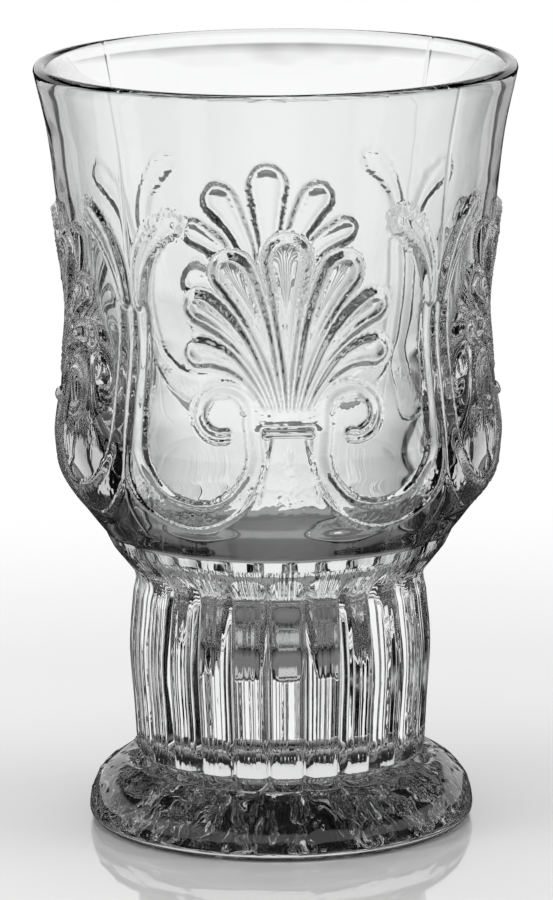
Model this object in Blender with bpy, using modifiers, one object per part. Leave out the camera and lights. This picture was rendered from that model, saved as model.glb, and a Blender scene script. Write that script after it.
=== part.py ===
"""Footed juice glass in clear pressed glass: a bowl with a palmette frieze, a ribbed column and a round foot.

Metres, +Z up. The origin is the middle of the foot's contact ring, on the table, and one palmette faces -Y.
"""

import math

import bmesh
import bpy
import numpy as np

MM = 0.001

# Stack, from the table up
FOOT_HEIGHT = 9.1 * MM
COLUMN_HEIGHT = 31.8 * MM
BOWL_HEIGHT = 69.5 * MM
JOINT_GAP = 0.3 * MM

# Foot
FOOT_RADIUS = 28.0 * MM
FOOT_EDGE_ROUND = 1.6 * MM
CONTACT_WIDTH = 2.4 * MM
UNDERSIDE_DEPTH = 1.6 * MM

# Column: its radius at the foot, then how far its ribs stand out from that further up
COLUMN_RADIUS = 20.9 * MM
COLUMN_SWELL = 0.95 * MM
COLUMN_NECK_SWELL = 0.2 * MM
COLUMN_FLARE = 3.1 * MM
COLUMN_SWELL_HEIGHT = 16.9 * MM
COLUMN_FLARE_DEPTH = 4.5 * MM
RIB_COUNT = 24
RIB_DEPTH = 1.8 * MM
SOCKET_WALL = 1.2 * MM

# Bowl: radii and wall thickness at levels measured up from its underside
SHOULDER_OVERHANG = 0.4 * MM
HIP_RADIUS = 28.5 * MM
HIP_WALL = 7.3 * MM
HIP_LEVEL = 5.0 * MM
BELLY_RADIUS = 30.8 * MM
BELLY_WALL = 6.9 * MM
BELLY_LEVEL = 14.5 * MM
WAIST_RADIUS = 29.0 * MM
WAIST_WALL = 2.3 * MM
WAIST_LEVEL = 33.5 * MM
COLLAR_RADIUS = 31.8 * MM
COLLAR_WALL = 2.2 * MM
COLLAR_LEVEL = 51.2 * MM
RIM_RADIUS = 34.75 * MM
RIM_WALL = 1.95 * MM

# Round bottom of the bowl, which reaches down into the column
TAIL_WALL = 1.6 * MM
CAVITY_FLOOR_DEPTH = 20.0 * MM
CAVITY_FLOOR_RADIUS = 7.0 * MM
CAVITY_FLOOR_RISE = 1.4 * MM

# Frieze: widths across are measured at one reference radius, levels are up from the bowl's underside
PALMETTE_COUNT = 4
FRIEZE_RADIUS = 30.0 * MM
RELIEF_HEIGHT = 1.8 * MM
RELIEF_SINK = 0.3 * MM
RELIEF_ROOT = 0.6 * MM
PALMETTE_LEVEL = 25.0 * MM
PETAL_ROOT_HALF_WIDTH = 0.6 * MM
SCROLL_HALF_WIDTH = 1.5 * MM
SCROLL_BOTTOM_HALF_WIDTH = 2.4 * MM
SCROLL_STEM_ACROSS = 4.25 * MM
SCROLL_BOTTOM_LEVEL = 8.9 * MM
SCROLL_TURN_LEVEL = 18.5 * MM
SCROLL_TOP_LEVEL = 39.0 * MM
VOLUTE_ACROSS = 9.4 * MM
VOLUTE_LEVEL = 23.7 * MM
VOLUTE_EYE_RADIUS = 2.2 * MM
VOLUTE_OUTER_RADIUS = 4.4 * MM
VOLUTE_EYE_ANGLE = -100
VOLUTE_STEM_ANGLE = 190
LEAF_NOTCH_HALF_WIDTH = 0.8 * MM
LEAF_TIP_ACROSS = 14.3 * MM
LEAF_TIP_LEVEL = 53.0 * MM
LEAF_HALF_WIDTH = 1.6 * MM
CAPITAL_HALF_LENGTH = 3.2 * MM
CAPITAL_HALF_WIDTH = 0.7 * MM
CAPITAL_LEVEL = 21.5 * MM
STEM_TOP_HALF_WIDTH = 2.3 * MM
STEM_BOTTOM_HALF_WIDTH = 4.0 * MM
STEM_HEIGHT = 0.8 * MM

# Petals beside the middle one: where each starts, bends and ends, across and above the palmette's base
MIDDLE_PETAL_LENGTH = 24.8 * MM
MIDDLE_PETAL_HALF_WIDTH = 3.2 * MM
SIDE_PETALS = (
    {"root": 1.1 * MM, "bend": (4.2 * MM, 12.0 * MM), "tip": (9.1 * MM, 21.6 * MM), "half_width": 2.7 * MM},
    {"root": 2.2 * MM, "bend": (6.4 * MM, 9.5 * MM), "tip": (13.9 * MM, 15.6 * MM), "half_width": 2.4 * MM},
    {"root": 3.4 * MM, "bend": (6.0 * MM, 7.4 * MM), "tip": (15.3 * MM, 7.6 * MM), "half_width": 2.3 * MM},
)

# How full each band is along its length, from 0 at its narrowest to 1 at its widest
PETAL_SHARES = np.array([0.0, 0.35, 0.65, 0.84, 0.95, 1.0])
PETAL_SWELL = np.array([0.0, 0.3, 0.73, 1.0, 0.75, 0.2])
LEAF_SHARES = np.array([0.0, 0.3, 0.6, 0.85, 1.0])
LEAF_SWELL = np.array([0.8, 1.0, 1.0, 0.4])
VOLUTE_SHARES = (0.0, 0.2, 1.0)
VOLUTE_SWELL = (0.5, 0.9, 1.0)

# Smoothness of the round surfaces
TURNED_STEPS = 48
SIDES_PER_RIB = 4
COLUMN_RINGS = 10
PETAL_SIDES = 8
BAND_SIDES = 6
MERGE_DISTANCE = 0.01 * MM

# Clear glass, slightly greyer and more worn towards the foot
GLASS_IOR = 1.52
BOWL_TINT = (0.97, 0.98, 0.98)
BOWL_ROUGHNESS = 0.02
COLUMN_TINT = (0.96, 0.97, 0.97)
COLUMN_ROUGHNESS = 0.03
FOOT_TINT = (0.95, 0.96, 0.96)
FOOT_ROUGHNESS = 0.04

# Levels and radii that follow from the sizes above
COLUMN_BASE = FOOT_HEIGHT + JOINT_GAP
COLUMN_TOP = COLUMN_BASE + COLUMN_HEIGHT
BOWL_BASE = COLUMN_TOP + JOINT_GAP
RIM_TOP = BOWL_BASE + BOWL_HEIGHT
FLARE_RADIUS = COLUMN_RADIUS + COLUMN_FLARE
SHOULDER_RADIUS = FLARE_RADIUS + SHOULDER_OVERHANG
COLUMN_NECK_RADIUS = COLUMN_RADIUS + COLUMN_NECK_SWELL
RIB_TO_CAVITY = RIB_DEPTH + SOCKET_WALL + JOINT_GAP + TAIL_WALL
PANEL_HALF_WIDTH = math.pi * FRIEZE_RADIUS / PALMETTE_COUNT


def clear_scene():
    for item in list(bpy.data.objects):
        bpy.data.objects.remove(item, do_unlink=True)


def new_collection(name):
    collection = bpy.data.collections.new(name)
    bpy.context.scene.collection.children.link(collection)
    return collection


def glass_material(name, tint, roughness):
    material = bpy.data.materials.new(name)
    material.use_nodes = True
    shader = material.node_tree.nodes["Principled BSDF"]
    shader.inputs["Base Color"].default_value = (*tint, 1.0)
    shader.inputs["Roughness"].default_value = roughness
    shader.inputs["Metallic"].default_value = 0.0
    shader.inputs["IOR"].default_value = GLASS_IOR
    shader.inputs["Transmission Weight"].default_value = 1.0
    return material


def smooth_line(corners, steps):
    """Points of a smooth curve through the corners, with the given number of steps between each two."""
    corners = np.array(corners, dtype=float)
    ends = (2 * corners[0] - corners[1], 2 * corners[-1] - corners[-2])
    padded = np.vstack([ends[0], corners, ends[1]])
    points = []
    for before, start, end, after in zip(padded, padded[1:], padded[2:], padded[3:]):
        for share in np.arange(steps) / steps:
            slope = (end - before) * share + (2 * before - 5 * start + 4 * end - after) * share**2
            points.append(start + 0.5 * (slope + (3 * start - before - 3 * end + after) * share**3))
    return np.vstack([points, corners[-1]])


def offset_line(points, distance):
    """The line moved sideways, to the right of the way it runs."""
    along = np.gradient(points, axis=0)
    along /= np.linalg.norm(along, axis=1)[:, None]
    return points + distance * np.column_stack([along[:, 1], -along[:, 0]])


def turned_object(name, profile, collection):
    """A turned body from (radius, level) points that run down its outer side."""
    mesh = bpy.data.meshes.new(name)
    edges = [(index, index + 1) for index in range(len(profile) - 1)]
    mesh.from_pydata([(max(radius, 0.0), 0.0, level) for radius, level in profile], edges, [])
    item = bpy.data.objects.new(name, mesh)
    collection.objects.link(item)
    screw = item.modifiers.new("Turn", "SCREW")
    screw.steps = TURNED_STEPS
    screw.render_steps = TURNED_STEPS
    screw.use_merge_vertices = True
    screw.merge_threshold = MERGE_DISTANCE
    screw.use_smooth_shade = True
    return item


def as_guide(item):
    item.hide_render = True
    item.display_type = "WIRE"
    return item


# Bowl
def outer_wall():
    """(radius, level) of the plain wall outside, from the underside up to the lip."""
    lip = RIM_WALL / 2
    corners = [
        (SHOULDER_RADIUS, BOWL_BASE),
        (HIP_RADIUS, BOWL_BASE + HIP_LEVEL),
        (BELLY_RADIUS, BOWL_BASE + BELLY_LEVEL),
        (WAIST_RADIUS, BOWL_BASE + WAIST_LEVEL),
        (COLLAR_RADIUS, BOWL_BASE + COLLAR_LEVEL),
        (RIM_RADIUS, RIM_TOP - lip),
    ]
    return smooth_line(corners, 3)


def inner_wall():
    """(radius, level) of the cavity, from the middle of its floor up to the lip."""
    floor = BOWL_BASE - CAVITY_FLOOR_DEPTH
    corners = [
        (0.0, floor),
        (CAVITY_FLOOR_RADIUS, floor + CAVITY_FLOOR_RISE),
        (COLUMN_NECK_RADIUS - RIB_TO_CAVITY, BOWL_BASE - COLUMN_FLARE_DEPTH),
        (FLARE_RADIUS - RIB_TO_CAVITY, BOWL_BASE),
        (HIP_RADIUS - HIP_WALL, BOWL_BASE + HIP_LEVEL),
        (BELLY_RADIUS - BELLY_WALL, BOWL_BASE + BELLY_LEVEL),
        (WAIST_RADIUS - WAIST_WALL, BOWL_BASE + WAIST_LEVEL),
        (COLLAR_RADIUS - COLLAR_WALL, BOWL_BASE + COLLAR_LEVEL),
        (RIM_RADIUS - RIM_WALL, RIM_TOP - RIM_WALL / 2),
    ]
    return smooth_line(corners, 2)


def tail_line(distance):
    """The cavity's round bottom moved outward, from the axis up to the bowl's underside."""
    line = offset_line(inner_wall(), distance)
    line[0, 0] = 0.0
    below = line[line[:, 1] < BOWL_BASE]
    top_radius = np.interp(BOWL_BASE, line[:, 1], line[:, 0])
    return np.vstack([below, (top_radius, BOWL_BASE)])


def bowl_profile():
    lip = RIM_WALL / 2
    turns = np.radians(np.arange(150, 0, -30))
    lip_centre = RIM_RADIUS - lip
    lip_arc = [(lip_centre + lip * math.cos(t), RIM_TOP - lip + lip * math.sin(t)) for t in turns]
    return np.vstack([inner_wall(), lip_arc, outer_wall()[::-1], tail_line(TAIL_WALL)[::-1]])


def wall_point(across, level, lift, turn):
    """A point above the plain wall, at a distance across from the middle of the panel that faces turn."""
    wall = outer_wall()
    radius = np.interp(level + BOWL_BASE, wall[:, 1], wall[:, 0]) + lift
    angle = turn + across / FRIEZE_RADIUS
    return radius * math.sin(angle), -radius * math.cos(angle), level + BOWL_BASE


def raised_band(name, path, half_widths, height, sides, turn, collection):
    """A rounded band in relief along an (across, level) path, rooted in the wall."""
    rings = len(path)
    along = np.gradient(path, axis=0)
    along /= np.linalg.norm(along, axis=1)[:, None]
    sideways = np.column_stack([along[:, 1], -along[:, 0]])
    shape = bmesh.new()
    bmesh.ops.create_cone(shape, cap_ends=True, segments=sides, radius1=1.0, radius2=1.0, depth=1.0)
    lengthwise = [edge for edge in shape.edges if edge.verts[0].co.z * edge.verts[1].co.z < 0]
    bmesh.ops.subdivide_edges(shape, edges=lengthwise, cuts=rings - 2, use_grid_fill=True)
    for vertex in shape.verts:
        ring = round((vertex.co.z + 0.5) * (rings - 1))
        place = path[ring] + sideways[ring] * vertex.co.x * half_widths[ring]
        rise = height if vertex.co.y > 0 else RELIEF_ROOT
        vertex.co = wall_point(place[0], place[1], vertex.co.y * rise - RELIEF_SINK, turn)
    bmesh.ops.recalc_face_normals(shape, faces=shape.faces)
    mesh = bpy.data.meshes.new(name)
    shape.to_mesh(mesh)
    shape.free()
    mesh.shade_smooth()
    item = as_guide(bpy.data.objects.new(name, mesh))
    collection.objects.link(item)


def mirrored(path, side):
    return np.array(path) * (side, 1.0)


def quadratic(start, bend, end, shares):
    """Points of a curve that leaves start towards bend and reaches end from it."""
    weights = np.column_stack([(1 - shares) ** 2, 2 * shares * (1 - shares), shares**2])
    return weights @ np.array([start, bend, end])


def petal(root, bend, tip, half_width):
    """Path and half widths of a petal that swells towards a round head."""
    base = (root, PALMETTE_LEVEL)
    bend = (bend[0], PALMETTE_LEVEL + bend[1])
    tip = (tip[0], PALMETTE_LEVEL + tip[1])
    widths = PETAL_ROOT_HALF_WIDTH + (half_width - PETAL_ROOT_HALF_WIDTH) * PETAL_SWELL
    return quadratic(base, bend, tip, PETAL_SHARES), widths


def scroll():
    """Path and half widths of a scroll: a volute, a sweep under the panel, an upright and a curled leaf."""
    upright = PANEL_HALF_WIDTH - SCROLL_HALF_WIDTH
    angles = np.radians(np.linspace(VOLUTE_EYE_ANGLE, VOLUTE_STEM_ANGLE, 11))
    growth = np.linspace(0.0, 1.0, len(angles))
    radii = VOLUTE_EYE_RADIUS * (VOLUTE_OUTER_RADIUS / VOLUTE_EYE_RADIUS) ** growth
    volute = np.column_stack([VOLUTE_ACROSS + radii * np.cos(angles), VOLUTE_LEVEL + radii * np.sin(angles)])
    turns = np.radians(np.linspace(180, 360, 9))
    middle = (SCROLL_STEM_ACROSS + upright) / 2
    reach = (upright - SCROLL_STEM_ACROSS) / 2
    drop = SCROLL_TURN_LEVEL - SCROLL_BOTTOM_LEVEL
    sweep = np.column_stack([middle + reach * np.cos(turns), SCROLL_TURN_LEVEL + drop * np.sin(turns)])
    notch = (PANEL_HALF_WIDTH - LEAF_NOTCH_HALF_WIDTH, SCROLL_TOP_LEVEL)
    bend = (notch[0], LEAF_TIP_LEVEL - LEAF_HALF_WIDTH)
    leaf = quadratic(notch, bend, (LEAF_TIP_ACROSS, LEAF_TIP_LEVEL), LEAF_SHARES)
    fullness = np.sin(turns - math.pi)
    widths = np.concatenate([
        SCROLL_HALF_WIDTH * np.interp(growth, VOLUTE_SHARES, VOLUTE_SWELL),
        SCROLL_HALF_WIDTH + (SCROLL_BOTTOM_HALF_WIDTH - SCROLL_HALF_WIDTH) * fullness,
        [LEAF_NOTCH_HALF_WIDTH],
        LEAF_HALF_WIDTH * LEAF_SWELL,
    ])
    return np.vstack([volute, sweep, leaf]), widths


def add_palmette(turn, label, collection):
    """One panel of the frieze."""
    length = MIDDLE_PETAL_LENGTH
    path, widths = petal(0.0, (0.0, length / 2), (0.0, length), MIDDLE_PETAL_HALF_WIDTH)
    raised_band(f"{label}_middle_petal", path, widths, RELIEF_HEIGHT, PETAL_SIDES, turn, collection)
    capital = np.array([(share * CAPITAL_HALF_LENGTH, CAPITAL_LEVEL) for share in (-1, 0, 1)])
    thickness = [CAPITAL_HALF_WIDTH] * 3
    raised_band(f"{label}_capital", capital, thickness, RELIEF_HEIGHT, BAND_SIDES, turn, collection)
    stem = np.array([(0.0, CAPITAL_LEVEL), (0.0, SCROLL_TURN_LEVEL), (0.0, SCROLL_BOTTOM_LEVEL)])
    spread = [STEM_TOP_HALF_WIDTH, STEM_TOP_HALF_WIDTH, STEM_BOTTOM_HALF_WIDTH]
    raised_band(f"{label}_stem", stem, spread, STEM_HEIGHT, BAND_SIDES, turn, collection)
    for side, hand in ((-1, "left"), (1, "right")):
        for number, shape in enumerate(SIDE_PETALS):
            path, widths = petal(**shape)
            name = f"{label}_{hand}_petal_{number}"
            raised_band(name, mirrored(path, side), widths, RELIEF_HEIGHT, PETAL_SIDES, turn, collection)
        path, widths = scroll()
        name = f"{label}_{hand}_scroll"
        raised_band(name, mirrored(path, side), widths, RELIEF_HEIGHT, BAND_SIDES, turn, collection)


def make_bowl(parts, relief):
    bowl = turned_object("bowl", bowl_profile(), parts)
    for panel in range(PALMETTE_COUNT):
        add_palmette(2 * math.pi * panel / PALMETTE_COUNT, f"panel_{panel}", relief)
    union = bowl.modifiers.new("Frieze", "BOOLEAN")
    union.operation = "UNION"
    union.operand_type = "COLLECTION"
    union.collection = relief
    bowl.data.materials.append(glass_material("bowl_glass", BOWL_TINT, BOWL_ROUGHNESS))


# Column
def column_crest():
    """(radius, height) of the ribs' crests above the column's lower end."""
    neck_height = COLUMN_HEIGHT - COLUMN_FLARE_DEPTH
    corners = [
        (COLUMN_RADIUS, 0.0),
        (COLUMN_RADIUS + COLUMN_SWELL, COLUMN_SWELL_HEIGHT),
        (COLUMN_NECK_RADIUS, neck_height),
        (FLARE_RADIUS, COLUMN_HEIGHT),
    ]
    return smooth_line(corners, 8)


def rib_radius(angle, crest):
    """Radius at an angle: each rib is a rounded ridge, and one is centred on every palmette."""
    pitch = 2 * math.pi / RIB_COUNT
    from_crest = 2 * ((angle / pitch + 0.5) % 1.0) - 1.0
    return crest - RIB_DEPTH * (1 - math.sqrt(max(0.0, 1 - from_crest**2)))


def make_column(parts, cutters):
    shape = bmesh.new()
    sides = RIB_COUNT * SIDES_PER_RIB
    bmesh.ops.create_cone(shape, cap_ends=True, segments=sides, radius1=1.0, radius2=1.0, depth=1.0)
    lengthwise = [edge for edge in shape.edges if edge.verts[0].co.z * edge.verts[1].co.z < 0]
    bmesh.ops.subdivide_edges(shape, edges=lengthwise, cuts=COLUMN_RINGS - 2, use_grid_fill=True)
    crest = column_crest()
    for vertex in shape.verts:
        angle = math.atan2(vertex.co.x, -vertex.co.y)
        height = COLUMN_HEIGHT * math.sin((vertex.co.z + 0.5) * math.pi / 2)
        radius = rib_radius(angle, np.interp(height, crest[:, 1], crest[:, 0]))
        vertex.co = (radius * math.sin(angle), -radius * math.cos(angle), COLUMN_BASE + height)
    mesh = bpy.data.meshes.new("ribbed_column")
    shape.to_mesh(mesh)
    shape.free()
    mesh.shade_smooth()
    column = bpy.data.objects.new("ribbed_column", mesh)
    parts.objects.link(column)
    seat = tail_line(TAIL_WALL + JOINT_GAP)[::-1]
    mouth = [(0.0, RIM_TOP), (seat[0][0], RIM_TOP)]
    socket = as_guide(turned_object("socket_cutter", np.vstack([mouth, seat]), cutters))
    cut = column.modifiers.new("Socket", "BOOLEAN")
    cut.operation = "DIFFERENCE"
    cut.object = socket
    column.data.materials.append(glass_material("column_glass", COLUMN_TINT, COLUMN_ROUGHNESS))


# Foot
def foot_profile():
    turns = np.radians(np.arange(0, 91, 15))
    dome_width = FOOT_RADIUS - COLUMN_RADIUS
    dome_height = FOOT_HEIGHT - FOOT_EDGE_ROUND
    dome = np.column_stack([dome_width * np.sin(turns), dome_height * np.cos(turns)])
    dome += (COLUMN_RADIUS, FOOT_EDGE_ROUND)
    ring_outer = FOOT_RADIUS - FOOT_EDGE_ROUND
    edge_turns = turns[2::2]
    edge = FOOT_EDGE_ROUND * np.column_stack([np.cos(edge_turns), 1 - np.sin(edge_turns)])
    edge += (ring_outer, 0.0)
    ring_inner = ring_outer - CONTACT_WIDTH
    reach = np.linspace(ring_inner, 0.0, 6)
    hollow = np.column_stack([reach, UNDERSIDE_DEPTH * (1 - (reach / ring_inner) ** 2)])
    return np.vstack([(0.0, FOOT_HEIGHT), dome, edge, hollow])


def make_foot(parts):
    foot = turned_object("foot", foot_profile(), parts)
    foot.data.materials.append(glass_material("foot_glass", FOOT_TINT, FOOT_ROUGHNESS))


def main():
    clear_scene()
    parts = new_collection("juice_glass")
    guides = new_collection("juice_glass_cutters")
    relief = new_collection("juice_glass_frieze")
    make_bowl(parts, relief)
    make_column(parts, guides)
    make_foot(parts)


main()
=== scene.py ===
"""Looks of the footed juice glass: fine pressed-glass surfaces for the bowl, the column and the foot."""

import math

import bpy
import numpy as np
from mathutils import Matrix, Vector


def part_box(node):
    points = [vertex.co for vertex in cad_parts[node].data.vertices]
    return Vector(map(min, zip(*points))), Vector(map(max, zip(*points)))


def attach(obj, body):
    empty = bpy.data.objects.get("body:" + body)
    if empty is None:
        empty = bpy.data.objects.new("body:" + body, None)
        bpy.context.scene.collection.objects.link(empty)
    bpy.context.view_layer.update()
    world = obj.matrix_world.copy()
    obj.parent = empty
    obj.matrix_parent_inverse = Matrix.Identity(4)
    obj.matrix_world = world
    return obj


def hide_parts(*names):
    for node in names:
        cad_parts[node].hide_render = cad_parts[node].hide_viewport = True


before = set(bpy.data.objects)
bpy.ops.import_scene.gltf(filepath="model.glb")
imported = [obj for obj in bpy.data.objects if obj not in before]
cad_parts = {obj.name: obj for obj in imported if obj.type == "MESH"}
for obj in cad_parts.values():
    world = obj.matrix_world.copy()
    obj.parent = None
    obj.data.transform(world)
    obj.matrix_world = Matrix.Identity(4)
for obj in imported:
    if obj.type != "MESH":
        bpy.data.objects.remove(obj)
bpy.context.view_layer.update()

# Lengths of the glass are in millimetres, and this turns them into the frame's metres
MM = 0.001

# Sizes taken from the frame
FOOT_BOX = [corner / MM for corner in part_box("foot")]
COLUMN_BOX = [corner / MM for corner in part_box("ribbed_column")]
BOWL_BOX = [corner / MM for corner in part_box("bowl")]
FOOT_RADIUS = FOOT_BOX[1].x
RIM_RADIUS = BOWL_BOX[1].x
RIM_TOP = BOWL_BOX[1].z
FOOT_JOIN = (FOOT_BOX[1].z + COLUMN_BOX[0].z) / 2
TAIL_END = BOWL_BOX[0].z
BOWL_JOIN = COLUMN_BOX[1].z + (COLUMN_BOX[0].z - FOOT_BOX[1].z) / 2

# Fineness of the surfaces: columns round the glass, steps between rows, and counts of rows and path points
AROUND = 720
RELIEF_STEP = 0.26
LOW_STEP = 0.35
PLAIN_STEP = 1.4
INNER_STEP = 2.5
CUP_STEP = 0.8
COLUMN_STEP = 0.45
FLARE_STEP = 0.22
RIB_END_STEP = 0.15
LIP_STEPS = 10
DOME_STEPS = 40
EDGE_STEPS = 8
UNDERSIDE_STEPS = 30
TAIL_STEPS = 7
PETAL_POINTS = 60
PETAL_TIP_POINTS = 20
SCROLL_ARC_POINTS = 70
UPRIGHT_POINTS = 40
SCROLL_POINTS = 400

# Bowl, as radius at height
LIP_HEIGHT = 1.0
LIP_BASE = RIM_TOP - LIP_HEIGHT
RIM_WALL = 1.95
OUTER_WALL = [(25.3, 43.2), (26.6, 44.8), (28.05, 46.7), (29.75, 48.8), (31.35, 51.5), (31.9, 56.0),
              (30.9, 65.0), (29.8, 75.0), (31.3, 88.0), (31.8, 92.7), (32.9, 101.5), (RIM_RADIUS, LIP_BASE)]
INNER_WALL = [(7.5, 22.9), (10.0, 25.4), (13.8, 31.8), (17.1, 36.5), (19.65, 40.5), (21.6, 46.5),
              (24.1, 56.0), (26.7, 75.0), (29.6, 92.7), (30.84, 101.5), (RIM_RADIUS - RIM_WALL, LIP_BASE)]
CAVITY_FLOOR = 21.5
CUP_TOP = 50.0
CUP_SHARES = (0.8, 0.6, 0.4, 0.2)
TAIL_WALL = 1.6
TAIL_OUTWARD = 0.7 * TAIL_WALL
TAIL_DOWNWARD = 0.75 * TAIL_WALL

# Column
RIB_COUNT = 24
RIB_DEPTH = 1.9
RIB_ROUNDNESS = 4.0
RIB_CREST = [(20.9, 9.4), (21.3, 16.6), (21.87, 26.3), (21.3, 33.5), (21.0, 36.5), (22.7, 39.0),
             (24.15, 40.9), (24.75, 42.0), OUTER_WALL[0]]
RIB_FADE = (34.5, 40.8)
RIB_END = 1.2
RIB_END_DROP = 0.8
FLARE_LOW = 37.0

# Foot
EDGE_ROUND = 1.6
CONTACT_WIDTH = 2.4
UNDERSIDE_RISE = 1.6
DOME_INNER = 20.9
DOME_GAP = 0.1
SCALLOP_DROP = 0.9
SCALLOP_REACH = 2.0

# Frieze, laid out flat: across from a palmette's middle at FRIEZE_RADIUS, and up from the table
PALMETTE_COUNT = 4
HALF_COLUMNS = AROUND // (2 * PALMETTE_COUNT)
FRIEZE_RADIUS = 30.0
FRIEZE_LOW = 46.0
FRIEZE_HIGH = 97.0
PANEL_HALF = math.pi * FRIEZE_RADIUS / PALMETTE_COUNT
RELIEF = 1.05
RAMP_CORNER = 0.08
PETAL_RAMP = 1.17
PETAL_INSET = 0.285
PETAL_BEAD = 0.8
PETAL_SCOOP = 0.2
PETAL_TIP = 0.55
SCROLL_RIM = 0.35
SCROLL_RAMP = 0.45
COVE_LOWEST = 0.68
BAR_RAMP = 0.7
PETALS = [
    {"root": (0.0, 66.5), "bend": (0.0, 77.0), "head": (0.0, 87.4), "half_width": 3.1, "lean": 0.0},
    {"root": (1.0, 66.5), "bend": (3.0, 77.6), "head": (7.4, 85.3), "half_width": 2.75, "lean": 0.6},
    {"root": (2.0, 66.5), "bend": (5.2, 76.3), "head": (12.0, 80.2), "half_width": 2.3, "lean": 0.6},
    {"root": (3.0, 66.5), "bend": (6.4, 74.0), "head": (12.4, 73.9), "half_width": 2.1, "lean": 0.6},
]
PETAL_ROOT_HALF = 0.5
PETAL_SWELL = 1.15
STALK_SMOOTH = (0.3, 0.7)
VOLUTE_CENTRE = (9.1, 65.2)
VOLUTE_START = (2.9, -100.0)
VOLUTE_END = (4.4, 190.0)
SWEEP_CENTRE = (13.2, 60.0)
SWEEP_AXES = (8.95, 9.6)
UPRIGHT_TOP = 79.0
SCROLL_HALF_WIDTHS = [(0.0, 0.9), (0.12, 0.9), (0.24, 1.3), (0.36, 1.35), (0.46, 1.7), (0.55, 2.5),
                      (0.66, 2.5), (0.74, 1.7), (0.8, 1.5), (1.0, 1.45)]
SCROLL_COVES = [(0.0, 0.3), (0.3, 0.2), (0.42, 0.42), (0.62, 0.42), (0.72, 0.2), (1.0, 0.2)]
SCROLL_STIPPLE = {"high": 57.0, "fade": 4.0, "grain": 0.5}
LEAF = {"root": (22.2, 80.0), "bend": (21.6, 88.6), "head": (16.4, 92.0), "half_width": 2.0, "lean": 0.0}
LEAF_ROOT_HALF = 1.1
LEAF_FADE = (85.0, 93.0)
LEAF_HEIGHT = 0.55
LEAF_LOSS = 0.3
CAPITAL = {"low": 62.5, "high": 63.5, "half_width": 3.3}
GATHER = {"low": 63.5, "high": 67.0, "half_width": 4.6, "height": 0.4, "ramp": 1.8}
GATHER_GRAIN = {"grain": 0.35, "reach": 0.5}
STEM = {"low": 50.0, "high": 63.0, "half_top": 2.45, "half_low": 4.8, "height": 0.5, "fade": 9.0,
        "grain": 0.5}
STEM_GROOVE = {"half": 0.3, "depth": 0.45}

# Fine marks of the pressing mould
SEAM_HALF = 0.16
SEAM_RISE = 0.1
MOULD_SEED = 7
GRAIN_REACH = 1.6
RELIEF_GRAIN = 0.05
COLUMN_GRAIN = 0.004
COLUMN_LINES = 0.03
FOOT_WAVE = 0.06
FOOT_WAVE_PASSES = (8, 160)
FOOT_SPECK = 0.22
SPECK_PASSES = (2, 5)
SPECK_LIMIT = 1.5
UNDERSIDE_CALM = 3
LEAST_HEIGHT = 0.02

# Glass: scales are for noise in the frame's metres
GLASS_IOR = 1.52
CLEAR_TINT = (0.97, 0.98, 0.975)
# The foot's colour is painted shade: a grey that makes the clear foot darker
FOOT_PAINTED_SHADE = (0.65, 0.66, 0.655)
CLOUD_SCALE = 60.0
CLOUD_DETAIL = 3.0
CLOUD_ROUGHNESS = 0.002
GRAIN_ROUGHNESS = 0.003
WAVE_SCALE = 130.0
WAVE_DETAIL = 1.0
WAVE_STRENGTH = 0.06
WAVE_DISTANCE = 0.001
THROUGH_BOUNCES = 24
MIRROR_BOUNCES = 12

# Tones of the room that rays through the glass see. Sides are in degrees from the front or the back,
# heights in degrees above the horizon, and distances on the floor in metres from the glass's axis.
# The floor's dark sectors in the next two lists are painted shade
PALE_SIDES = [(0.0, 1.0), (7.0, 1.0), (16.0, 0.8), (24.0, 0.62), (31.0, 0.5), (33.0, 0.0), (37.0, 0.0),
              (38.5, 0.7), (51.5, 0.7), (53.0, 0.0), (74.0, 0.0), (76.0, 0.8), (90.0, 0.8)]
NEAR_SIDES = [(0.0, 1.0), (14.0, 1.0), (15.5, 0.0), (40.0, 0.0), (41.0, 0.5), (47.0, 0.5), (48.0, 0.0),
              (80.0, 0.0), (81.5, 0.9), (90.0, 0.9)]
NEAR_TURN = math.tan(math.radians(8.0))
NEAR_LIMIT = (0.12, 0.15)
SKY_SIDES = [(0.0, 1.0), (13.0, 1.0), (20.0, 0.05), (43.0, 0.05), (45.0, 0.5), (47.0, 0.05), (80.0, 0.05),
             (84.0, 0.8), (90.0, 0.8)]
PALE_HEIGHTS = [(0.0, 0.3), (6.0, 0.36), (9.0, 0.33), (12.0, 0.2), (14.0, 0.16), (27.0, 0.14), (30.0, 0.01),
                (90.0, 0.0)]
PALE_NEAR = (0.045, 0.07)
PALE_NEAR_TONE = 0.95
# Painted shade on the floor: darker from 0.16 to 0.26 m, and from 0.9 m outward
FLOOR_TONES = [(0.0, 1.0), (0.1, 1.0), (0.16, 0.9), (0.19, 0.88), (0.22, 0.84), (0.26, 0.95), (0.5, 1.0),
               (0.75, 1.0), (0.9, 0.2), (1.2, 0.18)]
# Painted shadow of the glass on the floor under the foot, with painted light in a pale ring behind and a
# pale spot in front
UNDER_FOOT = (0.0255, 0.030)
UNDER_BACK_TONES = [(0.0, 0.1), (0.0045, 0.1), (0.007, 0.7), (0.012, 0.7), (0.014, 0.2), (0.0225, 0.2),
                    (0.024, 0.02), (0.03, 0.02)]
UNDER_FRONT_TONES = [(0.0, 0.7), (0.0055, 0.7), (0.0075, 0.22), (0.017, 0.22), (0.022, 0.1), (0.024, 0.02),
                     (0.03, 0.02)]
DARK_TONE = 0.001

# Tones that mirrored rays see: the sky by height, and the floor
MIRRORED_HEIGHTS = [(0.0, 1.0), (17.0, 1.0), (21.0, 0.0), (90.0, 0.0)]
# Painted shade: the pale floor shows near black in reflections
MIRRORED_FLOOR = 0.02

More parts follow.
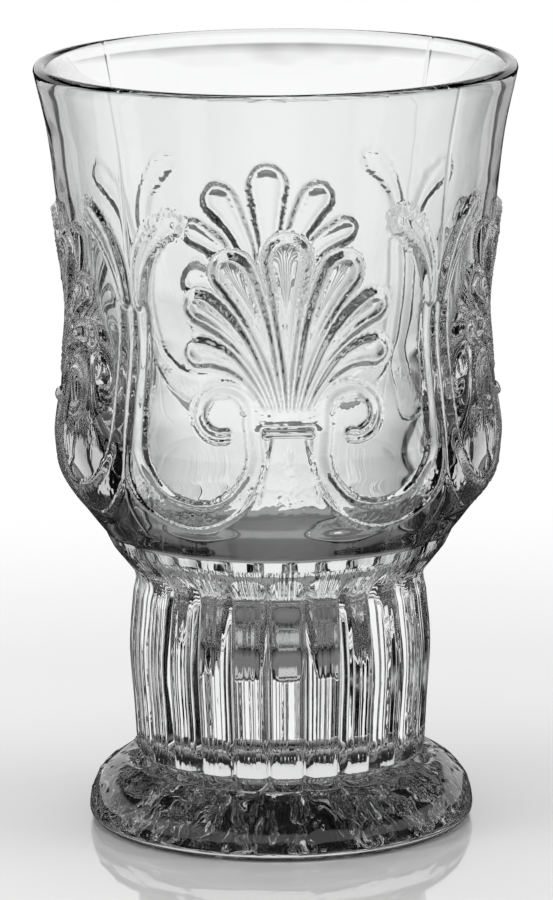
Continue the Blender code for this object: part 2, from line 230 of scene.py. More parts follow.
# Polished floor and lamps, in metres and watts
FLOOR_HALF = 3.0
FLOOR_BELOW = 0.0002
FLOOR_COLOURS = (0.78, 0.84)
FLOOR_ROUGHNESS = 0.05
FLOOR_IOR = 1.9
FLOOR_FADE = (0.09, 0.22)
MOTTLE_SCALE = 30.0
MOTTLE_DETAIL = 4.0
MOTTLE_SPREAD = (0.3, 0.7)
ROOM_LIGHT = 0.35
LAMP_AIM = (0.0, 0.0, 0.05)
LAMPS = [
    {"name": "overhead_lamp", "place": (0.0, 0.0, 1.4), "size": 0.9, "power": 9.0},
    {"name": "left_lamp", "place": (-0.9, -0.3, 0.8), "size": 0.5, "power": 3.0},
    {"name": "right_lamp", "place": (0.9, -0.2, 0.7), "size": 0.5, "power": 2.5},
]

# Camera, fitted to the photograph's 553 by 900 frame
FRAME_HEIGHT_PX = 900
FOCAL_PX = 6291.1
SENSOR_MM = 36.0
CAMERA_DISTANCE = 892.87
CAMERA_HEIGHT = 238.04
CAMERA_SIDESTEP = -0.293
CAMERA_PITCH = math.radians(11.64)
CAMERA_ROLL = -0.00799
CAMERA_TURN = math.radians(2.6)
CLIP_START = 0.01

# The first column faces the camera's side, -Y, and the columns run anticlockwise seen from above
TURNS = np.arange(AROUND) * (2 * math.pi / AROUND)
ROUND_X = np.sin(TURNS)
ROUND_Y = -np.cos(TURNS)

# How far each column is from a rib's crest, from 0 to 1 in the groove
RIB_TURN = 2 * math.pi / RIB_COUNT
OFF_CREST = np.abs((TURNS + RIB_TURN / 2) % RIB_TURN - RIB_TURN / 2) / (RIB_TURN / 2)


def ease(value):
    """A smooth step from 0 to 1."""
    value = np.clip(value, 0.0, 1.0)
    return value * value * (3.0 - 2.0 * value)


def smooth_curve(stations, heights):
    """Radius at each height, on a smooth curve through (radius, height) stations."""
    radii = np.array([station[0] for station in stations])
    levels = np.array([station[1] for station in stations])
    slopes = np.gradient(radii, levels)
    heights = np.clip(heights, levels[0], levels[-1])
    index = np.clip(np.searchsorted(levels, heights) - 1, 0, len(levels) - 2)
    span = levels[index + 1] - levels[index]
    t = (heights - levels[index]) / span
    start = (1 + 2 * t) * (1 - t) ** 2 * radii[index] + t * (1 - t) ** 2 * span * slopes[index]
    end = t * t * (3 - 2 * t) * radii[index + 1] + t * t * (t - 1) * span * slopes[index + 1]
    return start + end


def radius_at(stations, height):
    """Radius at one height on the smooth curve."""
    return smooth_curve(stations, np.array([height]))[0]


def bezier(root, bend, head):
    """Points on a curve from the root to the head, drawn towards the bend."""
    t = np.linspace(0.0, 1.0, PETAL_POINTS)[:, None]
    return (1 - t) ** 2 * np.array(root) + 2 * t * (1 - t) * np.array(bend) + t * t * np.array(head)


def band(across, up, path, half_widths):
    """For a band along a path: distance outside its edge, the nearest path point, and the place across."""
    heading = np.gradient(path, axis=0)
    heading = heading / np.linalg.norm(heading, axis=1)[:, None]
    edge = np.full(across.shape, np.inf)
    nearest = np.zeros(across.shape, dtype=int)
    side = np.zeros(across.shape)
    for index, half in enumerate(half_widths):
        x, y = path[index]
        along_x, along_y = heading[index]
        distance = np.hypot(across - x, up - y) - half
        nearer = distance < edge
        edge = np.where(nearer, distance, edge)
        nearest = np.where(nearer, index, nearest)
        side = np.where(nearer, (along_x * (up - y) - along_y * (across - x)) / half, side)
    return edge, nearest, side


def raised(edge, ramp):
    """0 outside a form and 1 inside, with an even ramp centred on its edge and rounded at both ends."""
    place = 0.5 - edge / ramp
    low_end = np.logaddexp(0.0, place / RAMP_CORNER)
    high_end = np.logaddexp(0.0, (place - 1.0) / RAMP_CORNER)
    return RAMP_CORNER * (low_end - high_end)


def scooped(edge, half_here, lean):
    """A petal: a bead that falls steeply outside and runs gently into a scoop, deeper where it leans."""
    inward = np.clip((-edge - PETAL_BEAD) / np.maximum(half_here - PETAL_BEAD, PETAL_BEAD), 0.0, 1.0)
    depth = PETAL_SCOOP * half_here * (1.0 + lean)
    return RELIEF * raised(edge + PETAL_INSET, PETAL_RAMP) - depth * (1.0 - (1.0 - inward) ** 2)


def coved(depth, side):
    """Across the scroll: a rim beside the window, a cove that falls away from it, and a far rim."""
    away = np.clip((1.0 - side) / 2.0, 0.0, 1.0)
    fall = ease(away / COVE_LOWEST) * ease((1.0 - away) / (1.0 - COVE_LOWEST))
    return SCROLL_RIM - depth * fall


def petal_band(across, up, petal, root_half):
    """Edge distance, half width and lean of a petal: a thin stalk that swells to a round head."""
    path = bezier(petal["root"], petal["bend"], petal["head"])
    swell = np.linspace(0.0, 1.0, len(path)) ** PETAL_SWELL
    half_widths = root_half + (petal["half_width"] - root_half) * swell
    onward = (path[-1] - path[-2]) / np.linalg.norm(path[-1] - path[-2])
    share = np.linspace(0.0, 1.0, PETAL_TIP_POINTS)[1:]
    tip = path[-1] + np.outer(share, onward) * petal["half_width"] * PETAL_TIP
    tip_halves = petal["half_width"] * (1.0 - PETAL_TIP * share ** 2)
    half_widths = np.concatenate([half_widths, tip_halves])
    edge, nearest, side = band(across, up, np.vstack([path, tip]), half_widths)
    return edge, half_widths[nearest], -petal["lean"] * np.clip(side, -1.0, 1.0)


def arc(centre, radius_x, radius_y, turns):
    """Points on an arc, or on a spiral where the radii change along it."""
    return np.column_stack([centre[0] + radius_x * np.cos(turns), centre[1] + radius_y * np.sin(turns)])


def scroll_band(across, up):
    """The S-shaped scroll's band: volute, sweep under the window, and upright at the panel's edge."""
    turns = np.radians(np.linspace(VOLUTE_START[1], VOLUTE_END[1], SCROLL_ARC_POINTS))
    radii = np.geomspace(VOLUTE_START[0], VOLUTE_END[0], SCROLL_ARC_POINTS)
    volute = arc(VOLUTE_CENTRE, radii, radii, turns)
    sweep = arc(SWEEP_CENTRE, *SWEEP_AXES, np.linspace(math.pi, 2 * math.pi, SCROLL_ARC_POINTS))
    levels = np.linspace(SWEEP_CENTRE[1], UPRIGHT_TOP, UPRIGHT_POINTS)[1:]
    upright = np.column_stack([np.full(len(levels), SWEEP_CENTRE[0] + SWEEP_AXES[0]), levels])
    corners = np.vstack([volute, sweep, upright])
    length = np.concatenate([[0.0], np.cumsum(np.linalg.norm(np.diff(corners, axis=0), axis=1))])
    even = np.linspace(0.0, length[-1], SCROLL_POINTS)
    path = np.column_stack([np.interp(even, length, corners[:, side]) for side in (0, 1)])
    half_widths = np.interp(even / length[-1], *zip(*SCROLL_HALF_WIDTHS))
    depths = np.interp(even / length[-1], *zip(*SCROLL_COVES)) * half_widths
    edge, nearest, side = band(across, up, path, half_widths)
    return edge, depths[nearest], side


def block_edge(across, up, low, high, half_low, half_high):
    """Edge distance of an upright block that may taper."""
    half = half_low + (half_high - half_low) * np.clip((up - low) / (high - low), 0.0, 1.0)
    return np.maximum(np.maximum(low - up, up - high), across - half)


def edge_grain(edge, ramp):
    """Grain of the mould beside an edge: full close to it and gone a ramp's width away."""
    return ease(GRAIN_REACH - GRAIN_REACH * np.abs(edge) / ramp)


def stem_relief(across, up):
    """Relief and grain of the stem under the palmette, with a groove along each side."""
    edge = block_edge(across, up, STEM["low"], STEM["high"], STEM["half_low"], STEM["half_top"])
    rising = ease((up - STEM["low"]) / STEM["fade"])
    groove = np.exp(-(edge / STEM_GROOVE["half"]) ** 2) * rising
    relief = STEM["height"] * raised(edge, PETAL_RAMP) * rising - STEM_GROOVE["depth"] * groove
    grain = STEM["grain"] * ease(-edge / STEM["half_top"]) * ease((STEM["high"] - up) / STEM["fade"])
    return relief, grain


def add_scroll(relief, grain, across, up):
    """Relief and grain with the coved scroll laid over them, stippled where it sweeps low."""
    edge, depth, side = scroll_band(across, up)
    inside = raised(edge, SCROLL_RAMP)
    relief = relief * (1.0 - inside) + coved(depth, side) * inside
    low_down = ease((SCROLL_STIPPLE["high"] - up) / SCROLL_STIPPLE["fade"])
    stipple = SCROLL_STIPPLE["grain"] * inside * low_down
    return relief, np.maximum(np.maximum(grain, edge_grain(edge, SCROLL_RAMP)), stipple)


def add_capital(relief, grain, across, up):
    """Relief and grain with the bar on top of the stem and the low swelling that gathers the petals."""
    half = CAPITAL["half_width"]
    edge = block_edge(across, up, CAPITAL["low"], CAPITAL["high"], half, half)
    relief = np.maximum(relief, RELIEF * raised(edge, BAR_RAMP))
    half = GATHER["half_width"]
    edge = block_edge(across, up, GATHER["low"], GATHER["high"], half, half)
    relief = np.maximum(relief, GATHER["height"] * raised(edge, GATHER["ramp"]))
    return relief, np.maximum(grain, GATHER_GRAIN["grain"] * ease(GATHER_GRAIN["reach"] - edge))


def add_petal(relief, grain, across, up, petal, root_half, height_share):
    """Relief and grain with one petal or leaf, its stalk smooth and its head grainy at the edge."""
    edge, half_here, lean = petal_band(across, up, petal, root_half)
    height = scooped(edge, half_here, lean) * height_share
    relief = np.where(edge < PETAL_RAMP / 2, np.maximum(relief, height), relief)
    along = (half_here - root_half) / (petal["half_width"] - root_half)
    on_head = ease((along - STALK_SMOOTH[0]) / (STALK_SMOOTH[1] - STALK_SMOOTH[0]))
    return relief, np.maximum(grain, edge_grain(edge + PETAL_INSET, PETAL_RAMP) * on_head)


def mould_seam(across):
    """The fine raised line that the mould's parting leaves at a panel's edge."""
    return SEAM_RISE * np.exp(-((across - PANEL_HALF) / SEAM_HALF) ** 2)


def half_panel(levels):
    """Places on a half panel: a row for each level, a column for each step from the middle."""
    return np.meshgrid(np.linspace(0.0, PANEL_HALF, HALF_COLUMNS + 1), levels)


def frieze(levels):
    """Relief and grain of one half panel."""
    across, up = half_panel(levels)
    relief, grain = stem_relief(across, up)
    relief, grain = add_scroll(relief, grain, across, up)
    relief, grain = add_capital(relief, grain, across, up)
    for petal in PETALS:
        relief, grain = add_petal(relief, grain, across, up, petal, PETAL_ROOT_HALF, 1.0)
    fading = LEAF_HEIGHT - LEAF_LOSS * ease((up - LEAF_FADE[0]) / (LEAF_FADE[1] - LEAF_FADE[0]))
    relief, grain = add_petal(relief, grain, across, up, LEAF, LEAF_ROOT_HALF, fading)
    return relief + mould_seam(across), grain


def all_round(half):
    """A half panel's columns, mirrored and repeated round the glass."""
    panel = np.concatenate([half[:, :0:-1], half[:, :-1]], axis=1)
    return np.roll(np.tile(panel, (1, PALMETTE_COUNT)), -HALF_COLUMNS, axis=1)


def mould_grain(size, shape):
    """Small seeded roughness, as the sandy surface of a mould leaves."""
    return size * np.random.default_rng(MOULD_SEED).normal(0.0, 1.0, shape)


def softened(grain, across, around):
    """Roughness made wider by averaging neighbours, in passes across and round, with a spread of 1."""
    for axis, passes in ((0, across), (1, around)):
        for turn in range(passes):
            grain = (grain + np.roll(grain, 1, axis=axis) + np.roll(grain, -1, axis=axis)) / 3.0
    return grain / grain.std()


def foot_surface(shape):
    """The foot's uneven surface: soft waves with sparse dimples and bumps."""
    waves = softened(mould_grain(1.0, shape), *FOOT_WAVE_PASSES)
    specks = softened(mould_grain(1.0, shape), *SPECK_PASSES)
    sparse = np.sign(specks) * np.clip(np.abs(specks) - SPECK_LIMIT, 0.0, None)
    return FOOT_WAVE * waves + FOOT_SPECK * sparse


def roughen(rows):
    """Gives rows of the foot its uneven surface, kept just above the table."""
    for row, heights in zip(rows, foot_surface((len(rows), AROUND))):
        row[:, 2] = np.maximum(row[:, 2] + heights, LEAST_HEIGHT)


def ring(radius, height):
    """A closed row of points: one radius, or a radius for each column."""
    radius = np.broadcast_to(radius, AROUND)
    return np.column_stack([radius * ROUND_X, radius * ROUND_Y, np.full(AROUND, height)])


def centre(height):
    """A row of one point on the axis, which closes an end."""
    return np.array([[0.0, 0.0, height]])


def rib_radius(height):
    """Radius of the ribbed column at a height, column by column, lower ends rounded over."""
    depth = RIB_DEPTH * (1.0 - ease((height - RIB_FADE[0]) / (RIB_FADE[1] - RIB_FADE[0])))
    radius = radius_at(RIB_CREST, height) - depth * OFF_CREST ** RIB_ROUNDNESS
    under = np.clip(1.0 - (height - FOOT_JOIN) / RIB_END, 0.0, 1.0)
    return radius - RIB_END_DROP * under ** 2


def outer_radius(height):
    """Radius of the outside at a height below the frieze: ribs that fade into the bowl's bottom."""
    if height < OUTER_WALL[0][1]:
        return rib_radius(height)
    return np.full(AROUND, radius_at(OUTER_WALL, height))


def steps(low, high, size):
    """Heights from low to high at about a given step, both ends in."""
    return np.linspace(low, high, max(2, round((high - low) / size) + 1))


def tail_rows():
    """Rows of the bowl's round tail inside the column, from near its end up to the bowl's underside."""
    heights = np.linspace(TAIL_END, BOWL_JOIN, TAIL_STEPS)[1:]
    inner = [(0.0, CAVITY_FLOOR)] + INNER_WALL
    return [ring(radius_at(inner, height + TAIL_DOWNWARD) + TAIL_OUTWARD, height) for height in heights]


def skin(name, rows, joint_bands, grain_rows, materials):
    """A closed turned mesh through rows; a row of one point closes an end."""
    points = np.vstack(rows)
    starts = np.concatenate([[0], np.cumsum([len(row) for row in rows])])
    here = np.arange(AROUND)
    after = (here + 1) % AROUND
    faces = []
    slots = []
    for index in range(len(rows) - 1):
        low, high = starts[index], starts[index + 1]
        if len(rows[index]) == 1:
            made = np.column_stack([np.full(AROUND, low), high + after, high + here])
        elif len(rows[index + 1]) == 1:
            made = np.column_stack([low + here, low + after, np.full(AROUND, high)])
        else:
            made = np.column_stack([low + here, low + after, high + after, high + here])
        faces.extend(made.tolist())
        slots.extend([1 if index in joint_bands else 0] * AROUND)
    mesh = bpy.data.meshes.new(name)
    mesh.from_pydata((points * MM).tolist(), [], faces)
    mesh.polygons.foreach_set("material_index", slots)
    for material in materials:
        mesh.materials.append(material)
    mesh.shade_smooth()
    mark_joint_edges(mesh, slots)
    grain = mesh.attributes.new("grain", "FLOAT", "POINT")
    grain.data.foreach_set("value", np.concatenate(grain_rows).astype(np.float32))
    mesh.validate()
    piece = bpy.data.objects.new(name, mesh)
    bpy.context.scene.collection.objects.link(piece)
    return piece


def mark_joint_edges(mesh, slots):
    """Keeps the shading crisp where a fused face meets the outside."""
    edges = np.empty(len(mesh.loops), dtype=np.int32)
    mesh.loops.foreach_get("edge_index", edges)
    totals = np.empty(len(mesh.polygons), dtype=np.int32)
    mesh.polygons.foreach_get("loop_total", totals)
    loop_slots = np.repeat(np.array(slots), totals)
    fused = np.bincount(edges, weights=loop_slots, minlength=len(mesh.edges))
    sharp = mesh.attributes.new("sharp_edge", "BOOLEAN", "EDGE")
    sharp.data.foreach_set("value", fused == 1)


def plain(rows):
    """No grain on these rows."""
    return [np.zeros(len(row)) for row in rows]


def frieze_rows():
    """Rows of the bowl's outside with the frieze on it, and their grain."""
    levels = steps(FRIEZE_LOW, FRIEZE_HIGH, RELIEF_STEP)[1:]
    relief, grain = (all_round(part) for part in frieze(levels))
    relief = relief + grain * mould_grain(RELIEF_GRAIN, relief.shape)
    wall = smooth_curve(OUTER_WALL, levels)
    rows = [ring(wall[row] + relief[row], level) for row, level in enumerate(levels)]
    return rows, list(grain)


def upper_rows():
    """Rows of the plain outside above the frieze, with its mould seams, up to the lip."""
    levels = steps(FRIEZE_HIGH, LIP_BASE, PLAIN_STEP)[1:]
    wall = smooth_curve(OUTER_WALL, levels)
    seams = all_round(mould_seam(half_panel(levels)[0]))
    return [ring(wall[row] + seams[row], level) for row, level in enumerate(levels)]


def lip_rows():
    """Rows over the rounded lip, from the outside to the inside."""
    half = RIM_WALL / 2
    angles = np.linspace(0.0, math.pi, LIP_STEPS + 1)[1:]
    return [ring(RIM_RADIUS - half + half * math.cos(angle), LIP_BASE + LIP_HEIGHT * math.sin(angle))
            for angle in angles]


def cavity_rows():
    """Rows of the inside, from under the lip down to the cavity's floor."""
    base_radius, base_height = INNER_WALL[0]
    lower = steps(base_height, CUP_TOP, CUP_STEP)[:-1]
    upper = steps(CUP_TOP, LIP_BASE, INNER_STEP)[:-1]
    levels = np.concatenate([lower, upper])[::-1]
    wall = [ring(radius_at(INNER_WALL, level), level) for level in levels]
    rise = base_height - CAVITY_FLOOR
    cup = [ring(base_radius * share, CAVITY_FLOOR + rise * share ** 2) for share in CUP_SHARES]
    return wall + cup + [centre(CAVITY_FLOOR)]


def make_bowl(materials):
    """The vessel: tail, outside with its frieze, lip and cavity."""
    tail = [centre(TAIL_END)] + tail_rows()
    joint_bands = set(range(len(tail)))
    low = [ring(outer_radius(level), level) for level in steps(BOWL_JOIN, FRIEZE_LOW, LOW_STEP)]
    ornament, grain = frieze_rows()
    rest = upper_rows() + lip_rows() + cavity_rows()
    grains = plain(tail + low) + grain + plain(rest)
    return skin("pressed_bowl", tail + low + ornament + rest, joint_bands, grains, materials)


def make_column(materials):
    """The ribbed stem, with the socket that the bowl's tail is fused into."""
    rib_end_top = FOOT_JOIN + RIB_END
    levels = np.concatenate([steps(FOOT_JOIN, rib_end_top, RIB_END_STEP)[:-1],
                             steps(rib_end_top, FLARE_LOW, COLUMN_STEP)[:-1],
                             steps(FLARE_LOW, BOWL_JOIN, FLARE_STEP)])
    rough = mould_grain(COLUMN_GRAIN, (len(levels), AROUND)) + mould_grain(COLUMN_LINES, (1, AROUND))
    rough[[0, -1]] = 0.0
    outside = [ring(outer_radius(level) + rough[row], level) for row, level in enumerate(levels)]
    rows = [centre(FOOT_JOIN)] + outside + tail_rows()[::-1] + [centre(TAIL_END)]
    joint_bands = {0} | set(range(len(outside), len(rows) - 1))
    return skin("pressed_column", rows, joint_bands, plain(rows), materials)


def dome_rows():
    """Rows of the foot's dome, from above its rounded edge to the ribs, dipping at each rib's end."""
    reach = FOOT_RADIUS - DOME_INNER
    rise = FOOT_JOIN - DOME_GAP - EDGE_ROUND
    rows = []
    for angle in np.linspace(0.0, math.pi / 2, DOME_STEPS)[1:]:
        radius = DOME_INNER + reach * math.cos(angle)
        row = ring(radius, EDGE_ROUND + rise * math.sin(angle))
        near = ease((DOME_INNER + SCALLOP_REACH - radius) / SCALLOP_REACH)
        row[:, 2] -= SCALLOP_DROP * near * (1.0 - OFF_CREST ** 2)
        rows.append(row)
    return rows


def make_foot(materials):
    """The domed disc, with its rounded edge, contact ring and shallow hollow underneath."""
    ring_outer = FOOT_RADIUS - EDGE_ROUND
    ring_inner = ring_outer - CONTACT_WIDTH
    shares = np.linspace(0.0, 1.0, UNDERSIDE_STEPS)[1:]
    under = [ring(ring_inner * share, UNDERSIDE_RISE * (1 - share ** 2)) for share in shares]
    angles = np.linspace(-math.pi / 2, 0.0, EDGE_STEPS)
    edge = [ring(ring_outer + EDGE_ROUND * math.cos(angle), EDGE_ROUND * (1 + math.sin(angle)))
            for angle in angles]
    dome = dome_rows()
    roughen(under[UNDERSIDE_CALM:-1])
    roughen(dome[:-1])
    rows = [centre(UNDERSIDE_RISE)] + under + edge + dome
    rows += [ring(outer_radius(FOOT_JOIN), FOOT_JOIN), centre(FOOT_JOIN)]
    return skin("pressed_foot", rows, {len(rows) - 2}, plain(rows), materials)


def socket(value, tree, target):
    """Sets a socket to a constant, or links another socket to it."""
    if isinstance(value, bpy.types.NodeSocket):
        tree.links.new(value, target)
    else:
        target.default_value = value


def add_node(tree, kind, inputs=None, **settings):
    """A shader node with its settings and inputs."""
    made = tree.nodes.new(kind)
    for name, value in settings.items():
        setattr(made, name, value)
    for key, value in (inputs or {}).items():
        socket(value, tree, made.inputs[key])
    return made


def maths(tree, operation, *values):
    """The result of a Math node."""
    return add_node(tree, "ShaderNodeMath", dict(enumerate(values)), operation=operation).outputs[0]


def mix(tree, factor, first, second, **settings):
    """The result of a Mix node: the first value at 0, the second at 1."""
    inputs = {"Factor": factor, "A": first, "B": second}
    return add_node(tree, "ShaderNodeMix", inputs, **settings).outputs["Result"]


def noise(tree, scale, detail, inputs=None):
    """A noise texture's value."""
    inputs = {"Scale": scale, "Detail": detail, **(inputs or {})}
    return add_node(tree, "ShaderNodeTexNoise", inputs).outputs["Fac"]


def map_range(tree, value, low, high, low_to=0.0, high_to=1.0):
    """A value taken smoothly from one range to another."""
    inputs = {"Value": value, "From Min": low, "From Max": high, "To Min": low_to, "To Max": high_to}
    return add_node(tree, "ShaderNodeMapRange", inputs, interpolation_type="SMOOTHSTEP").outputs[0]


def glass_material(name, tint_and_painted_shade):
    """Clear pressed glass: faint clouds of colour, a faint waviness, and less polish where it is grainy; for
    the foot the colour is painted shade, which makes it darker.
    """
    material = bpy.data.materials.new(name)
    material.use_nodes = True
    tree = material.node_tree
    shader = tree.nodes["Principled BSDF"]
    shader.inputs["IOR"].default_value = GLASS_IOR
    shader.inputs["Transmission Weight"].default_value = 1.0
    place = {"Vector": add_node(tree, "ShaderNodeTexCoord").outputs["Object"]}
    grain = add_node(tree, "ShaderNodeAttribute", attribute_name="grain").outputs["Fac"]
    cloud = noise(tree, CLOUD_SCALE, CLOUD_DETAIL, place)
    halfway_to_white = [(1.0 + part) / 2 for part in tint_and_painted_shade]
    colour = mix(tree, cloud, (*tint_and_painted_shade, 1.0), (*halfway_to_white, 1.0), data_type="RGBA")
    socket(colour, tree, shader.inputs["Base Color"])
    cloudy = maths(tree, "MULTIPLY", cloud, CLOUD_ROUGHNESS)
    socket(maths(tree, "MULTIPLY_ADD", grain, GRAIN_ROUGHNESS, cloudy), tree, shader.inputs["Roughness"])
    waves = noise(tree, WAVE_SCALE, WAVE_DETAIL, place)
    bump = {"Strength": WAVE_STRENGTH, "Distance": WAVE_DISTANCE, "Height": waves}
    socket(add_node(tree, "ShaderNodeBump", bump).outputs["Normal"], tree, shader.inputs["Normal"])
    return material


def joint_material():
    """Where two pieces are fused there is no surface to see."""
    material = bpy.data.materials.new("fused_joint")
    material.use_nodes = True
    material.node_tree.nodes["Principled BSDF"].inputs["Alpha"].default_value = 0.0
    return material


def tone_ramp(tree, value, stops):
    """A tone for a value, by stops of value and tone, the last at the end of its range."""
    span = stops[-1][0]
    node = add_node(tree, "ShaderNodeValToRGB", {0: maths(tree, "DIVIDE", value, span)})
    for place, (at_value, tone) in enumerate(stops):
        stop = node.color_ramp.elements[place] if place < 2 else node.color_ramp.elements.new(1.0)
        stop.position = at_value / span
        stop.color = (tone, tone, tone, 1.0)
    return node.outputs[0]


def pale_sides(tree, x, y, stops):
    """How pale the room is in a direction: alike in all quarters, counted from the front and the back."""
    turn = maths(tree, "ARCTAN2", maths(tree, "ABSOLUTE", x), maths(tree, "ABSOLUTE", y))
    return tone_ramp(tree, maths(tree, "DEGREES", turn), stops)


def above_dark(tree, tone):
    """A tone that doesn't fall below the room's darkest."""
    return maths(tree, "MULTIPLY_ADD", tone, 1.0 - DARK_TONE, DARK_TONE)


def by_ray(tree, plain_tone, through_glass, mirrored):
    """One tone for a plain ray, one for a ray that came through the glass, and one for a mirrored ray."""
    path = add_node(tree, "ShaderNodeLightPath").outputs
    tone = mix(tree, path["Is Glossy Ray"], plain_tone, mirrored)
    # A ray through glass counts as glossy too, so this comes last
    return mix(tree, path["Is Transmission Ray"], tone, through_glass)


def make_world():
    """White to the camera; in the glass, grey low down towards front, back, sides and corners, else dark."""
    world = bpy.data.worlds.new("studio")
    bpy.context.scene.world = world
    world.use_nodes = True
    tree = world.node_tree
    background = tree.nodes["Background"]
    direction = add_node(tree, "ShaderNodeTexCoord").outputs["Generated"]
    way = add_node(tree, "ShaderNodeSeparateXYZ", {0: direction}).outputs
    sectors = pale_sides(tree, way["X"], way["Y"], SKY_SIDES)
    height = maths(tree, "DEGREES", maths(tree, "ARCSINE", maths(tree, "MAXIMUM", way["Z"], 0.0)))
    low = tone_ramp(tree, height, PALE_HEIGHTS)
    pattern = above_dark(tree, maths(tree, "MULTIPLY", sectors, low))
    seen = add_node(tree, "ShaderNodeLightPath").outputs["Is Camera Ray"]
    camera_or_diffuse = maths(tree, "MULTIPLY_ADD", seen, 1.0 - ROOM_LIGHT, ROOM_LIGHT)
    strength = by_ray(tree, camera_or_diffuse, pattern, tone_ramp(tree, height, MIRRORED_HEIGHTS))
    socket(strength, tree, background.inputs["Strength"])
    background.inputs["Color"].default_value = (1.0, 1.0, 1.0, 1.0)


def polished_floor(tree, reach):
    """The floor as it is seen: polished and pale by the glass, fading to the plain white of the room."""
    lit = tree.nodes["Principled BSDF"]
    tone = map_range(tree, noise(tree, MOTTLE_SCALE, MOTTLE_DETAIL), *MOTTLE_SPREAD, *FLOOR_COLOURS)
    colour = add_node(tree, "ShaderNodeCombineColor", {"Red": tone, "Green": tone, "Blue": tone}).outputs[0]
    socket(colour, tree, lit.inputs["Base Color"])
    lit.inputs["Roughness"].default_value = FLOOR_ROUGHNESS
    lit.inputs["IOR"].default_value = FLOOR_IOR
    white = add_node(tree, "ShaderNodeEmission")
    fade = map_range(tree, reach, *FLOOR_FADE)
    shown = add_node(tree, "ShaderNodeMixShader", {0: fade, 1: lit.outputs[0], 2: white.outputs[0]})
    return shown.outputs[0]


def floor_in_glass(tree, place, reach):
    """The floor's tone through the glass: painted shadow under the foot with paler painted patches, pale
    close by, then sectors darkened by painted shade.
    """
    turned_x = maths(tree, "MULTIPLY_ADD", place["Y"], -NEAR_TURN, place["X"])
    near_sides = pale_sides(tree, turned_x, place["Y"], NEAR_SIDES)
    far_sides = pale_sides(tree, place["X"], place["Y"], PALE_SIDES)
    sectors = mix(tree, map_range(tree, reach, *NEAR_LIMIT), near_sides, far_sides)
    # Painted shade: the floor darker in sectors and at some distances
    far = above_dark(tree, maths(tree, "MULTIPLY", sectors, tone_ramp(tree, reach, FLOOR_TONES)))
    around = mix(tree, map_range(tree, reach, *PALE_NEAR), PALE_NEAR_TONE, far)
    # Painted shadow under the foot, with paler painted patches
    behind = maths(tree, "GREATER_THAN", place["Y"], 0.0)
    front, back = (tone_ramp(tree, reach, stops) for stops in (UNDER_FRONT_TONES, UNDER_BACK_TONES))
    under = mix(tree, behind, front, back)
    return mix(tree, map_range(tree, reach, *UNDER_FOOT), under, around)


def floor_material():
    """The polished floor, which rays through the glass and mirrored rays see in tones of their own: painted
    shade, near black in reflections, and in sectors and under the foot through the glass, with paler painted
    patches there.
    """
    material = bpy.data.materials.new("pale_floor")
    material.use_nodes = True
    tree = material.node_tree
    position = add_node(tree, "ShaderNodeNewGeometry").outputs["Position"]
    place = add_node(tree, "ShaderNodeSeparateXYZ", {0: position}).outputs
    squares = [maths(tree, "MULTIPLY", place[axis], place[axis]) for axis in ("X", "Y")]
    reach = maths(tree, "SQRT", maths(tree, "ADD", *squares))
    shown = polished_floor(tree, reach)
    tones = by_ray(tree, 0.0, floor_in_glass(tree, place, reach), MIRRORED_FLOOR)
    toned = add_node(tree, "ShaderNodeEmission", {"Strength": tones}).outputs[0]
    final = add_node(tree, "ShaderNodeMixShader", {0: by_ray(tree, 0.0, 1.0, 1.0), 1: shown, 2: toned})
    socket(final.outputs[0], tree, tree.nodes["Material Output"].inputs["Surface"])
    return material


def make_floor():
    """A wide pale floor just under the contact ring."""
    mesh = bpy.data.meshes.new("floor")
    signs = [(-1, -1), (1, -1), (1, 1), (-1, 1)]
    corners = [(side * FLOOR_HALF, end * FLOOR_HALF, -FLOOR_BELOW) for side, end in signs]
    mesh.from_pydata(corners, [], [(0, 1, 2, 3)])
    mesh.materials.append(floor_material())
    floor = bpy.data.objects.new("floor", mesh)
    bpy.context.scene.collection.objects.link(floor)


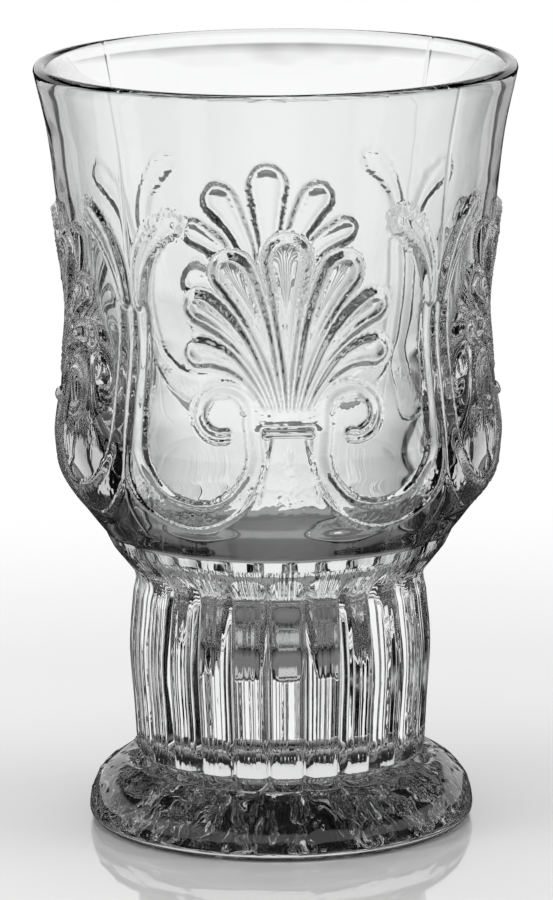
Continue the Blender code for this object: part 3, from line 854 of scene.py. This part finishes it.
def add_lamp(name, place, size, power):
    """A square soft lamp aimed at the middle of the glass, not seen in the glass or the floor's shine."""
    lamp = bpy.data.lights.new(name, "AREA")
    lamp.size = size
    lamp.energy = power
    holder = bpy.data.objects.new(name, lamp)
    holder.location = place
    holder.visible_transmission = False
    holder.visible_glossy = False
    aim = Vector(LAMP_AIM) - Vector(place)
    holder.rotation_euler = aim.to_track_quat("-Z", "Y").to_euler()
    bpy.context.scene.collection.objects.link(holder)


def make_camera():
    """The photograph's view."""
    data = bpy.data.cameras.new("camera")
    data.sensor_fit = "VERTICAL"
    data.sensor_height = SENSOR_MM
    data.sensor_width = SENSOR_MM
    data.lens = FOCAL_PX / FRAME_HEIGHT_PX * SENSOR_MM
    data.clip_start = CLIP_START
    camera = bpy.data.objects.new("camera", data)
    place = Matrix.Translation(Vector((CAMERA_SIDESTEP, -CAMERA_DISTANCE, CAMERA_HEIGHT)) * MM)
    tilt = Matrix.Rotation(math.pi / 2 - CAMERA_PITCH, 4, "X") @ Matrix.Rotation(CAMERA_ROLL, 4, "Z")
    camera.matrix_world = Matrix.Rotation(-CAMERA_TURN, 4, "Z") @ place @ tilt
    bpy.context.scene.collection.objects.link(camera)
    bpy.context.scene.camera = camera


def main():
    """Builds the scene round the frame."""
    scene = bpy.context.scene
    scene.view_settings.view_transform = "Standard"
    scene.cycles.max_bounces = THROUGH_BOUNCES
    scene.cycles.transmission_bounces = THROUGH_BOUNCES
    scene.cycles.glossy_bounces = MIRROR_BOUNCES
    scene.cycles.transparent_max_bounces = THROUGH_BOUNCES
    joint = joint_material()
    # The foot's glass gets painted shade for its colour, the bowl and column a faint clear colour
    makers = [(make_bowl, "bowl", "bowl_glass", CLEAR_TINT),
              (make_column, "ribbed_column", "column_glass", CLEAR_TINT),
              (make_foot, "foot", "foot_glass", FOOT_PAINTED_SHADE)]
    for maker, node, slot, tint_and_painted_shade in makers:
        piece = maker([glass_material(slot, tint_and_painted_shade), joint])
        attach(piece, "root")
        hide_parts(node)
    make_world()
    make_floor()
    for lamp in LAMPS:
        add_lamp(**lamp)
    make_camera()


main()
bpy.context.view_layer.update()
